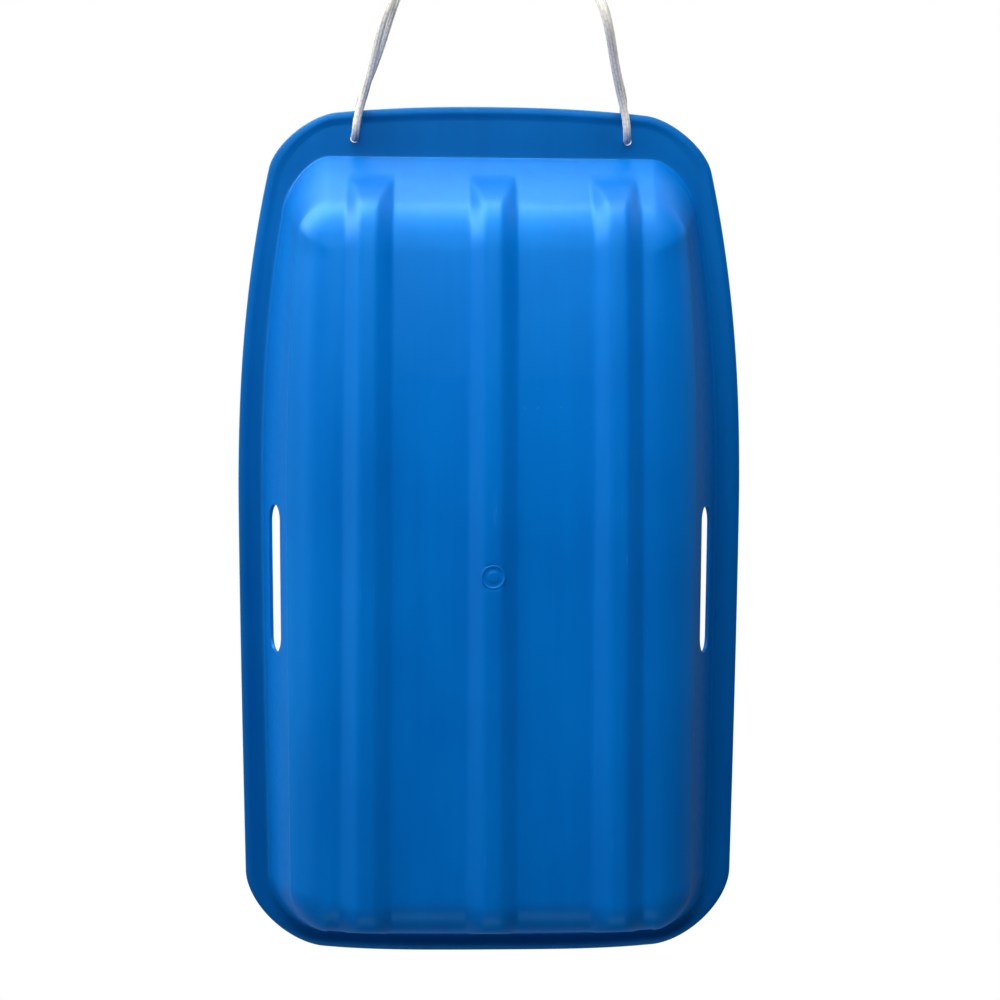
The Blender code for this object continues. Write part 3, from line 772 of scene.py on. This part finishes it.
# ---------------------------------------------------------------- gate mark on the middle runner
def gate_mark():
    """Round mark of the gate: a raised button, a groove round it and a raised ring, in a shallow moat."""
    outline = [(0.0, 0.05), (2.2, 0.05), (3.3, 0.08), (3.8, 0.16), (4.3, 0.38), (4.8, 0.6), (5.4, 0.7), (6.4, 0.74), (7.3, 0.7),
               (7.8, 0.52), (8.2, 0.24), (8.5, 0.05), (8.8, 0.0), (9.1, 0.06), (9.4, 0.24), (9.7, 0.42), (9.8, 0.6), (9.82, 3.2)]
    bm = bmesh.new()
    turns = 72
    rings = []
    for r, z in outline[1:]:
        rings.append([bm.verts.new((r * math.cos(2 * math.pi * n / turns) * MM, (GATE_Y + r * math.sin(2 * math.pi * n / turns)) * MM,
                                    z * MM)) for n in range(turns)])
    centre = bm.verts.new((0, GATE_Y * MM, outline[0][1] * MM))
    for n in range(turns):
        m = (n + 1) % turns
        bm.faces.new((centre, rings[0][n], rings[0][m]))
        for a, b in zip(rings, rings[1:]):
            bm.faces.new((a[n], b[n], b[m], a[m]))
    bm.faces.new(rings[-1])
    bmesh.ops.recalc_face_normals(bm, faces=bm.faces)
    return mesh_object("gate_mark", bm, BLUE, sharp=50)


gate = gate_mark()
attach(gate, "root")


# ---------------------------------------------------------------- studio
def plane(name, size, z, mat):
    bm = bmesh.new()
    bmesh.ops.create_grid(bm, x_segments=1, y_segments=1, size=size / 2)
    obj = mesh_object(name, bm, mat)
    obj.location.z = z
    return obj


def one_sided(name, colour, roughness):
    """Pale paper, seen from above only, so the picture can look up at the sled through it."""
    m, wire, node, shader = node_material(name)
    shader.inputs["Base Color"].default_value = (*colour, 1)
    shader.inputs["Roughness"].default_value = roughness
    shader.inputs["Specular IOR Level"].default_value = 0.1
    facing = node("ShaderNodeNewGeometry")
    clear = node("ShaderNodeBsdfTransparent")
    mix = node("ShaderNodeMixShader")
    # the paper runs out into the white of the studio away from the sled
    coord = node("ShaderNodeTexCoord")
    away = node("ShaderNodeVectorMath", operation="LENGTH")
    wire(coord.outputs["Object"], away.inputs[0])
    fade = node("ShaderNodeMapRange", interpolation_type="SMOOTHSTEP")
    for key, v in (("From Min", 0.75), ("From Max", 1.7), ("To Min", 0.0), ("To Max", 1.0)):
        fade.inputs[key].default_value = v
    wire(away.outputs["Value"], fade.inputs["Value"])
    gone = node("ShaderNodeMath", operation="MAXIMUM")
    wire(facing.outputs["Backfacing"], gone.inputs[0])
    wire(fade.outputs["Result"], gone.inputs[1])
    wire(gone.outputs[0], mix.inputs["Fac"])
    wire(shader.outputs["BSDF"], mix.inputs[1])
    wire(clear.outputs["BSDF"], mix.inputs[2])
    out = next(n for n in m.node_tree.nodes if n.type == "OUTPUT_MATERIAL")
    wire(mix.outputs["Shader"], out.inputs["Surface"])
    return m


floor = plane("floor", 14.0, -0.0001, one_sided("pale_floor", (0.80, 0.80, 0.80), 0.9))
floor.visible_shadow = floor.visible_diffuse = floor.visible_glossy = floor.visible_transmission = False

world = bpy.data.worlds.new("studio")
scene.world = world
world.use_nodes = True
tree = world.node_tree
tree.nodes.clear()
wire = tree.links.new
out = tree.nodes.new("ShaderNodeOutputWorld")
white = tree.nodes.new("ShaderNodeBackground")
white.inputs["Color"].default_value = (1, 1, 1, 1)
white.inputs["Strength"].default_value = 1.0
soft = tree.nodes.new("ShaderNodeBackground")
coord = tree.nodes.new("ShaderNodeTexCoord")
split = tree.nodes.new("ShaderNodeSeparateXYZ")
wire(coord.outputs["Generated"], split.inputs[0])


def world_math(op, a, b=None, use_clamp=False):
    n = tree.nodes.new("ShaderNodeMath")
    n.operation, n.use_clamp = op, use_clamp
    for slot, value in ((0, a), (1, b)):
        if value is None:
            continue
        if isinstance(value, (int, float)):
            n.inputs[slot].default_value = value
        else:
            wire(value, n.inputs[slot])
    return n.outputs[0]


# soft light all round, more from above
above = world_math("MULTIPLY", world_math("POWER", world_math("MAXIMUM", split.outputs["Z"], 0.0), 2.5), 0.25)
level = world_math("ADD", 0.02, above)
wire(level, soft.inputs["Strength"])
seen = tree.nodes.new("ShaderNodeLightPath")
mix = tree.nodes.new("ShaderNodeMixShader")
wire(seen.outputs["Is Camera Ray"], mix.inputs["Fac"])
wire(soft.outputs[0], mix.inputs[1])
wire(white.outputs[0], mix.inputs[2])
wire(mix.outputs[0], out.inputs["Surface"])


def area(name, where, target, wide, high, power, colour=(1, 1, 1), shine=True, light=True):
    """A soft box. shine: it shows as a reflection; light: it lights the surfaces."""
    data = bpy.data.lights.new(name, "AREA")
    data.shape = "RECTANGLE"
    data.size, data.size_y, data.energy, data.color = wide, high, power, colour
    obj = link(bpy.data.objects.new(name, data))
    obj.location = where
    obj.rotation_mode = "QUATERNION"
    obj.rotation_quaternion = (Vector(target) - Vector(where)).to_track_quat("-Z", "Y")
    obj.visible_camera = False
    obj.visible_glossy, obj.visible_diffuse = shine, light
    return obj


area("key_shine", (-1.15, -2.6, -0.12), (0.0, -0.15, 0.04), 3.6, 1.3, 126.0, light=False)
area("top_left", (-1.9, -2.1, -0.30), (0.0, -0.10, 0.04), 2.4, 0.9, 40.0, shine=False)
area("top", (0.0, -1.4, -0.55), (0.0, -0.10, 0.03), 1.6, 0.5, 29.0, shine=False)
area("top_shine", (0.0, -1.4, -0.55), (0.0, -0.10, 0.03), 1.6, 0.5, 6.0, light=False)
area("front", (-0.15, -1.0, -1.25), (0.0, -0.12, 0.03), 1.0, 0.7, 16.7, shine=False)
area("front_shine", (-0.15, -1.0, -1.25), (0.0, -0.12, 0.03), 1.0, 0.7, 2.9, light=False)
area("left_low", (-2.4, -0.7, -1.15), (0.0, 0.0, 0.03), 2.4, 1.2, 11.0, (0.2, 0.75, 1.0), light=False)
area("left", (-1.9, -0.3, -0.6), (0.0, -0.1, 0.04), 1.8, 0.8, 8.0, shine=False)
area("rear_low", (0.0, 2.2, -0.9), (0.0, 0.0, 0.03), 2.6, 0.9, 29.0, shine=False)
area("wall_front", (0.0, -1.37, 0.125), (0.0, -1.37, -5.0), 5.0, 2.0, 21.0, light=False)
area("wall_left", (-1.33, -0.06, 0.125), (-1.33, -0.06, -5.0), 2.2, 0.74, 17.5, (0.2, 0.95, 1.0), shine=False)
area("wall_left_rope", (-1.33, 0.0, 0.125), (-1.33, 0.0, -5.0), 2.2, 0.74, 20.0, shine=False)
area("wall_right", (1.33, 0.0, 0.125), (1.33, 0.0, -5.0), 2.2, 0.74, 4.0, shine=False)
# the low lights are for the sled and its rope, not for the paper
lit, plastic, cord = (bpy.data.collections.new(name) for name in ("lit_from_below", "plastic", "cord"))
for piece in (tray, gate, main_rope, knots["left"], knots["right"], ropes["left"][0], ropes["right"][0]):
    lit.objects.link(piece)
    (plastic if piece in (tray, gate) else cord).objects.link(piece)
for lamp in [o for o in scene.objects if o.type == "LIGHT" and o.location.z < 0.2]:
    lamp.light_linking.receiver_collection = {"wall_left": plastic, "wall_left_rope": cord}.get(lamp.name, lit)
area("overhead", (0.6, -0.9, 2.2), (0.0, 0.0, 0.0), 1.8, 1.8, 40.0, shine=False)
area("overhead_shine", (0.6, -0.9, 2.2), (0.0, 0.0, 0.0), 1.8, 1.8, 9.0, (0.3, 0.7, 1.0), light=False)
area("overhead_rear", (-1.2, 1.4, 1.6), (0.0, 0.0, 0.0), 1.4, 1.4, 18.0, shine=False)

scene.view_settings.view_transform = "Standard"
scene.view_settings.look = "None"
scene.view_settings.exposure = 0.0
scene.view_settings.gamma = 1.0
